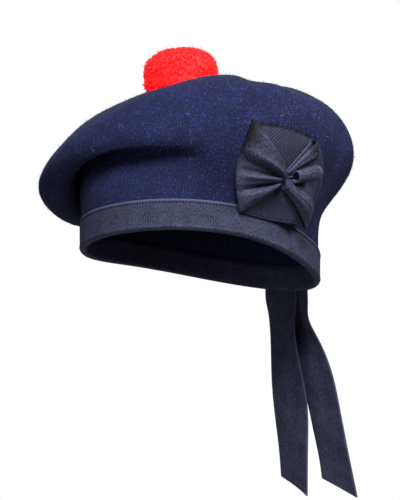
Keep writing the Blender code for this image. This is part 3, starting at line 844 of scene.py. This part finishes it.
def build_cockade_roll(seat):
    rounds = CURL_OPEN / 2 - math.pi / 2 + np.linspace(0, 2 * math.pi - CURL_OPEN, ROLL_POINTS[0])
    marks = np.linspace(0, 1, ROLL_POINTS[1])
    turn, share = np.meshgrid(rounds, marks, indexing="ij")
    radius = CURL_RADIUS * (CURL_TAPER + (1 - CURL_TAPER) * share)
    along = CURL_START + share * (CURL_REACH - CURL_START)
    across = radius * np.cos(turn)
    right = along * math.cos(CURL_TURN) - across * math.sin(CURL_TURN)
    up = along * math.sin(CURL_TURN) + across * math.cos(CURL_TURN) + GATHER_UP * COCKADE_SIDE / 2
    rest = 3 * CLEARANCE + 3.5 * RIBBON_WALL + LOOP_GAP + LOOP_LIFT * CURL_VALLEY
    middle = seat.grid(right, up, rest + radius * (1 + np.sin(turn)))
    roll = ribbed("cockade_roll", middle, LOOP_GROSGRAIN, LOOP_RIBS)
    place_piece(roll, "black_grosgrain", "cockade_curl")


def build_tail(name, node, rows, bearing, layer):
    table = np.array(rows, float)
    shares = np.linspace(0, 1, TAIL_POINTS[0])
    across = np.linspace(-0.5, 0.5, TAIL_POINTS[1])
    down = shares[:, None] * (TAIL_LENGTH + TAIL_SLANT * across)
    route = spline(table[:, 0], table[:, 1:], (down / TAIL_LENGTH).ravel()).reshape(*down.shape, 3)
    out, side, turn = route[..., 0] * TAIL_LENGTH, route[..., 1] * TAIL_LENGTH, np.radians(route[..., 2])
    aside = across * TAIL_WIDTH + 0 * down
    level = edge_height(bearing) + TAIL_LAP - down
    stand = 2 * CLEARANCE + 1.5 * RIBBON_WALL + layer * (CLEARANCE + RIBBON_WALL)
    there = bearing - aside / opening_radius(bearing)
    sewn = outward(there) * (opening_radius(there) + stand)[..., None]
    root = outward(bearing) * (opening_radius(bearing) + stand)
    free = root + outward(bearing) * out[..., None] + leftward(bearing) * side[..., None]
    free = free + leftward(bearing + turn) * aside[..., None]
    cup = aside**2 / (2 * opening_radius(bearing))
    free = free - outward(bearing + turn) * cup[..., None]
    loose = smoothstep((down - TAIL_LAP) / TAIL_LAP)[..., None]
    middle = sewn + (free - sewn) * loose
    middle[..., 2] = level
    place = np.stack([down, aside], -1)
    dents = 0 * down
    for along_1, across_1, along_2, across_2, depth in TAIL_CREASES:
        first = np.array([along_1 * TAIL_LENGTH, across_1 * TAIL_WIDTH])
        way = np.array([along_2 * TAIL_LENGTH, across_2 * TAIL_WIDTH]) - first
        share = np.clip((place - first) @ way / (way @ way), 0, 1)
        apart = np.linalg.norm(place - first - share[..., None] * way, axis=-1) / TAIL_CREASE_WIDTH
        dents = dents + depth * (1 - share) * np.exp(-(apart**2))
    dents = dents * loose[..., 0] * (1 - (2 * across) ** 4)
    middle = middle + grid_normals(middle) * dents[..., None]
    tail = ribbed(name, middle, GROSGRAIN, BAND_RIBS)
    place_piece(tail, "black_grosgrain", node)


def felt_tree(crown):
    points = [corner.co for corner in crown.data.vertices]
    return BVHTree.FromPolygons(points, [face.vertices[:] for face in crown.data.polygons])


def toorie_shape(felt, middle, normal):
    """The pompom's outline shrunk to its core, as points and faces, standing on the felt."""
    ball = bmesh.new()
    bmesh.ops.create_icosphere(ball, subdivisions=TOORIE_DIVISIONS, radius=1.0)
    up = Vector((0, 0, 1))
    turned = up.rotation_difference(up.lerp(normal, TOORIE_LEAN)).to_matrix()
    height, lumps = TOORIE_LUMPS
    points, full = [], []
    for corner in ball.verts:
        way = corner.co.normalized()
        boxy = TOORIE_BOXY_TOP if way.z > 0 else TOORIE_BOXY_FOOT
        place = way / (math.hypot(way.x, way.y) ** boxy + abs(way.z) ** boxy) ** (1 / boxy)
        place.x *= TOORIE_WIDTH / 2
        place.y *= TOORIE_WIDTH / 2
        place.z *= TOORIE_HEIGHT - TOORIE_EQUATOR if place.z > 0 else TOORIE_EQUATOR
        full.append(middle + turned @ place)
        lump = 1 + height * noise.noise(way * lumps)
        points.append(middle + turned @ place * (TOORIE_CORE * lump))
    faces = [[corner.index for corner in face.verts] for face in ball.faces]
    ball.free()
    sunk = max(felt.ray_cast(point + up * CROWN_RISE, -up)[0].z - point.z for point in full)
    return [point + up * (sunk + CLEARANCE) for point in points], faces


# Geometry Nodes


def node_group(name, labels):
    """A Geometry Nodes tree with named inputs. The seed is a whole number, the others are sizes."""
    tree = bpy.data.node_groups.new(name, "GeometryNodeTree")
    tree.interface.new_socket("Geometry", in_out="INPUT", socket_type="NodeSocketGeometry")
    for label in labels:
        kind = "NodeSocketInt" if label == "Seed" else "NodeSocketFloat"
        tree.interface.new_socket(label, in_out="INPUT", socket_type=kind)
    tree.interface.new_socket("Geometry", in_out="OUTPUT", socket_type="NodeSocketGeometry")
    return tree, tree.nodes.new("NodeGroupInput").outputs


def grown(name, points, faces, tree, columns, row, cloth, slot):
    """The plain mesh that a tree grows on bare faces, or on the edges of a line, as a piece of its own."""
    sizes = dict(zip(columns, row))
    base = bpy.data.meshes.new(name + "_base")
    line = len(faces[0]) == 2
    base.from_pydata([tuple(point) for point in points], faces if line else [], [] if line else faces)
    carrier = linked(name + "_carrier", base)
    modifier = carrier.modifiers.new("grown", "NODES")
    modifier.node_group = tree
    for item in tree.interface.items_tree:
        if item.item_type == "SOCKET" and item.in_out == "INPUT" and item.name in sizes:
            modifier[item.identifier] = sizes[item.name]
    evaluated = carrier.evaluated_get(bpy.context.evaluated_depsgraph_get())
    mesh = bpy.data.meshes.new_from_object(evaluated)
    mesh.name = name
    mesh.materials.clear()
    mesh.materials.append(cloth)
    bpy.data.objects.remove(carrier)
    place_piece(linked(name, mesh), slot)


def finish_tree(tree, geometry, cloth):
    real = add(tree, "GeometryNodeRealizeInstances", ("Geometry", geometry))
    named = add(tree, "GeometryNodeSetMaterial", ("Geometry", real), ("Material", cloth))
    add(tree, "NodeGroupOutput", ("Geometry", named))


def strand(tree, length, thickness, bend):
    """One fibre: a bent three-sided strand from the origin up Z."""
    end = add(tree, "ShaderNodeCombineXYZ", ("X", bend), ("Z", length))
    halfway = add(tree, "ShaderNodeMath", (0, length), (1, 0.6), operation="MULTIPLY")
    middle = add(tree, "ShaderNodeCombineXYZ", ("Z", halfway))
    path = add(
        tree, "GeometryNodeCurveQuadraticBezier", ("Start", (0, 0, 0)), ("Middle", middle), ("End", end),
        ("Resolution", STRAND_BENDS),
    )
    across = add(tree, "GeometryNodeCurvePrimitiveCircle", ("Resolution", 3), ("Radius", thickness))
    return add(
        tree, "GeometryNodeCurveToMesh", ("Curve", path), ("Profile Curve", across), ("Fill Caps", True)
    )


def scattered(tree, points, turn, piece, tilt, least, most, seed):
    """Copies of a piece on points, turned to the surface, then tilted and sized at random."""
    lean = add(
        tree, "FunctionNodeRandomValue", (0, (-tilt, -tilt, -math.pi)), (1, (tilt, tilt, math.pi)),
        ("Seed", seed), data_type="FLOAT_VECTOR",
    )
    size = add(tree, "FunctionNodeRandomValue", (2, least), (3, most), ("Seed", seed))
    leaned = add(
        tree, "FunctionNodeRotateRotation", ("Rotation", turn), ("Rotate By", lean),
        rotation_space="LOCAL",
    )
    return add(
        tree, "GeometryNodeInstanceOnPoints", ("Points", points), ("Instance", piece), ("Rotation", leaned),
        ("Scale", size.outputs[1]),
    )


def fibre_tree(name, cloth, tilt, least, most, tuft=1):
    """Fibres, or tufts of some fibres each, scattered over a surface."""
    tree, source = node_group(name, FIBRE_COLUMNS)
    seed = source["Seed"]
    spread = add(
        tree, "GeometryNodeDistributePointsOnFaces", ("Mesh", source["Geometry"]),
        ("Density", source["Density"]), ("Seed", seed),
    )
    fibre = strand(tree, source["Length"], source["Thickness"], source["Bend"])
    if tuft > 1:
        apart = add(tree, "ShaderNodeMath", (0, source["Thickness"]), (1, 2.0), operation="MULTIPLY")
        roots = add(tree, "GeometryNodeMeshCircle", ("Vertices", tuft), ("Radius", apart))
        level = add(tree, "FunctionNodeEulerToRotation")
        bundle = scattered(tree, roots, level, fibre, 0.4, 0.75, 1.1, seed)
        fibre = add(tree, "GeometryNodeRealizeInstances", ("Geometry", bundle))
    turn = spread.outputs["Rotation"]
    placed = scattered(tree, spread.outputs["Points"], turn, fibre, tilt, least, most, seed)
    finish_tree(tree, placed, cloth)
    return tree


def kept_faces(faces, kept):
    """The faces whose corners are all kept."""
    return [face for face in faces if all(kept[corner] for corner in face)]


def even_line(tree, source):
    """Points at an even pitch along the base's line."""
    line = add(tree, "GeometryNodeMeshToCurve", ("Mesh", source["Geometry"]))
    return add(
        tree, "GeometryNodeResampleCurve", ("Curve", line), ("Length", source["Pitch"]), mode="LENGTH"
    )


def stitch_tree(cloth):
    """Stitches laid along a line, evenly, each a short round-ended dash."""
    tree, source = node_group("stitches", STITCH_COLUMNS)
    even = even_line(tree, source)
    way = add(tree, "GeometryNodeInputTangent")
    turn = add(tree, "FunctionNodeAlignRotationToVector", ("Vector", way.outputs["Tangent"]), axis="X")
    ball = add(tree, "GeometryNodeMeshUVSphere", ("Segments", 8), ("Rings", 5), ("Radius", 0.5))
    size = add(
        tree, "ShaderNodeCombineXYZ", ("X", source["Length"]), ("Y", source["Thickness"]),
        ("Z", source["Thickness"]),
    )
    placed = add(
        tree, "GeometryNodeInstanceOnPoints", ("Points", even), ("Instance", ball.outputs["Mesh"]),
        ("Rotation", turn), ("Scale", size),
    )
    finish_tree(tree, placed, cloth)
    return tree


def fray_tree(cloth):
    """Loose warp threads along a cut edge."""
    tree, source = node_group("fray", FRAY_COLUMNS)
    even = even_line(tree, source)
    thread = strand(tree, source["Length"], source["Thickness"], source["Bend"])
    level = add(tree, "FunctionNodeEulerToRotation")
    placed = scattered(tree, even, level, thread, 0.9, 0.35, 1.2, source["Seed"])
    finish_tree(tree, placed, cloth)
    return tree


def uncovered(points):
    """Which points of the crown neither the cockade nor the pompom lies on."""
    radius = np.hypot(points[..., 0], points[..., 1])
    bearing = np.arctan2(points[..., 0], -points[..., 1])
    across, rise = (bearing - COCKADE_BEARING) * radius, points[..., 2] - COCKADE_UP
    right = across * math.cos(COCKADE_TURN) + rise * math.sin(COCKADE_TURN)
    up = rise * math.cos(COCKADE_TURN) - across * math.sin(COCKADE_TURN)
    beside = np.maximum(np.abs(right), np.abs(up)) > COCKADE_COVER * COCKADE_SIDE
    return beside & (np.linalg.norm(points - points[0, -1], axis=-1) > TOORIE_COVER * TOORIE_WIDTH)


def build_nap(points):
    """The felt's short nap and its few pale stray fibres, above the band."""
    first = RING_DIVISIONS * sum(facets for _, _, facets in RINGS[:3]) + 1
    points = points[:, first:]
    lines, count = points.shape[:2]
    faces = [
        [i * count + j, (i + 1) % lines * count + j, (i + 1) % lines * count + j + 1, i * count + j + 1]
        for i in range(lines)
        for j in range(count - 1)
    ]
    faces = kept_faces(faces, uncovered(points).ravel())
    points = points.reshape(-1, 3)
    nap = fibre_tree("crown_nap", NAP, tilt=1.25, least=0.5, most=1.15)
    grown("crown_nap", points, faces, nap, FIBRE_COLUMNS, NAP_FIBRES, NAP, "navy_felted_wool")
    kemp = fibre_tree("crown_kemp", KEMP, tilt=1.4, least=0.4, most=1.3)
    grown("crown_kemp", points, faces, kemp, FIBRE_COLUMNS, KEMP_FIBRES, KEMP, "navy_felted_wool")


def build_toorie(crown, points, normals):
    """The pompom: a core, the tufts of cut yarn over it, longer ones round its foot, and a few strays."""
    felt = felt_tree(crown)
    shape, faces = toorie_shape(felt, Vector(points[0, -1]), Vector(normals[0, -1]))
    place_piece(mesh_object("toorie_core", shape, faces, YARN), "red_wool_yarn", "toorie")
    centre = sum(shape, Vector()) / len(shape)
    high, down = Vector((0, 0, CROWN_RISE)), Vector((0, 0, -1))
    free = []
    for point in shape:
        tip = centre + (point - centre) * PILE_ROOM
        hit = felt.ray_cast(tip + high, down)[0]
        free.append(hit is None or tip.z > hit.z)
    low = [clear and point.z < centre.z - FOOT_DROP for clear, point in zip(free, shape)]
    pile = fibre_tree("toorie_pile", YARN, tilt=0.3, least=0.8, most=1.1, tuft=5)
    strays = fibre_tree("toorie_strays", YARN, tilt=0.8, least=0.8, most=1.3, tuft=4)
    for name, kept, tree, row in (
        ("toorie_pile", free, pile, PILE_FIBRES),
        ("toorie_strays", free, strays, STRAY_FIBRES),
        ("toorie_foot", low, pile, FOOT_FIBRES),
    ):
        grown(name, shape, kept_faces(faces, kept), tree, FIBRE_COLUMNS, row, YARN, "red_wool_yarn")


def build_stitching(square_middle):
    """The stitches of the band's seam and the square's low edge, and the threads of the square's cut edge."""
    bearings = np.linspace(0, 2 * math.pi, SEAM_POINTS + 1)[:-1]
    radii = opening_radius(bearings) + CLEARANCE + RIBBON_WALL + BAND_STITCH_LIFT
    ups = edge_height(bearings) + BAND_WIDTH - SEAM_DOWN
    band_line = outward(bearings) * radii[:, None] + np.array([0, 0, 1]) * ups[:, None]
    off = grid_normals(square_middle)
    low_line = square_middle[:, STITCH_ROW] + off[:, STITCH_ROW] * (RIBBON_WALL / 2 + COCKADE_STITCH_LIFT)
    cut_line = square_middle[:, FRAY_ROW] + off[:, FRAY_ROW] * RIBBON_WALL / 4
    stitches, fray = stitch_tree(THREAD), fray_tree(THREAD)
    for name, line, closed, tree, columns, row in (
        ("band_stitches", band_line, True, stitches, STITCH_COLUMNS, BAND_STITCHES),
        ("cockade_stitches_low", low_line, False, stitches, STITCH_COLUMNS, COCKADE_STITCHES),
        ("cockade_fray", cut_line, False, fray, FRAY_COLUMNS, FRAY_THREADS),
    ):
        last = len(line) - 1
        edges = [(i, i + 1) for i in range(last)] + ([(last, 0)] if closed else [])
        grown(name, line, edges, tree, columns, row, THREAD, "black_grosgrain")


def build_all():
    points, normals = crown_grid()
    crown = build_crown(points, normals)
    build_nap(points)
    band = build_band()
    build_toorie(crown, points, normals)
    seat = CockadeSeat(crown)
    square, square_middle = build_cockade_square(seat)
    for loop in COCKADE_LOOPS:
        build_cockade_loop(seat, square, *loop)
    build_cockade_roll(seat)
    build_tail("ribbon_tail_right", "tail_right", TAIL_RIGHT, TAIL_RIGHT_BEARING, 0)
    build_tail("ribbon_tail_left", "tail_left", TAIL_LEFT, TAIL_LEFT_BEARING, 1)
    build_stitching(square_middle)


def camera_ways():
    """The ways to the camera and to its right."""
    back = Vector((math.sin(CAMERA_AZIMUTH), -math.cos(CAMERA_AZIMUTH), 0))
    aside = Vector((math.cos(CAMERA_AZIMUTH), math.sin(CAMERA_AZIMUTH), 0))
    return back, aside


def build_stage():
    """A wide pale floor in a white room, one soft lamp by the camera and three weak ones round the bonnet."""
    back, aside = camera_ways()
    paper, tree, shader = blank_material("white_floor_paper")
    place = add(tree, "ShaderNodeTexCoord").outputs["Object"]
    specks = fleck(tree, place, FLOOR_SPECKS)
    tone = add(tree, "ShaderNodeValToRGB", ("Fac", specks), stops=((0.3, "D4D4D4"), (0.7, "DADADA")))
    feed(tree, shader, ("Base Color", tone), ("Roughness", 0.9))
    turns = np.arange(FLOOR_SIDES) * 2 * math.pi / FLOOR_SIDES
    rim = [(FLOOR_RADIUS * math.cos(turn), FLOOR_RADIUS * math.sin(turn), FLOOR_LEVEL) for turn in turns]
    mesh = bpy.data.meshes.new("floor")
    mesh.from_pydata(rim, [], [list(range(FLOOR_SIDES))])
    mesh.materials.append(paper)
    linked("floor", mesh)
    world = bpy.data.worlds.new("white_room")
    bpy.context.scene.world = world
    world.use_nodes = True
    sky = world.node_tree.nodes["Background"]
    seen = add(world.node_tree, "ShaderNodeLightPath").outputs["Is Camera Ray"]
    strength = add(
        world.node_tree, "ShaderNodeMapRange", ("Value", seen), ("To Min", ROOM_LIGHT), ("To Max", 1.0)
    )
    feed(world.node_tree, sky, ("Color", colour("FFFFFF")), ("Strength", strength))
    for name, aside_turn, up_turn, size, power in LAMPS:
        turn, rise = math.radians(aside_turn), math.radians(up_turn)
        way = (back * math.cos(turn) + aside * math.sin(turn)) * math.cos(rise)
        way = way + Vector((0, 0, math.sin(rise)))
        lamp = bpy.data.lights.new(name, "AREA")
        lamp.energy = power
        lamp.size = size
        made = linked(name, lamp)
        made.location = way * LAMP_DISTANCE
        made.rotation_euler = way.to_track_quat("Z", "Y").to_euler()


def build_camera():
    back, aside = camera_ways()
    view = bpy.data.cameras.new("camera")
    view.sensor_width = SENSOR
    view.lens = SENSOR * CAMERA_DISTANCE / (PICTURE[1] * METRES_PER_PIXEL)
    made = linked("camera", view)
    shift_right = (PICTURE[0] / 2 - ORIGIN_PIXEL[0]) * METRES_PER_PIXEL
    shift_up = (ORIGIN_PIXEL[1] - PICTURE[1] / 2) * METRES_PER_PIXEL
    made.location = back * CAMERA_DISTANCE + aside * shift_right + Vector((0, 0, shift_up))
    made.rotation_euler = back.to_track_quat("Z", "Y").to_euler()
    bpy.context.scene.camera = made


build_camera()
build_stage()
build_all()
bpy.context.scene.view_settings.view_transform = "Standard"
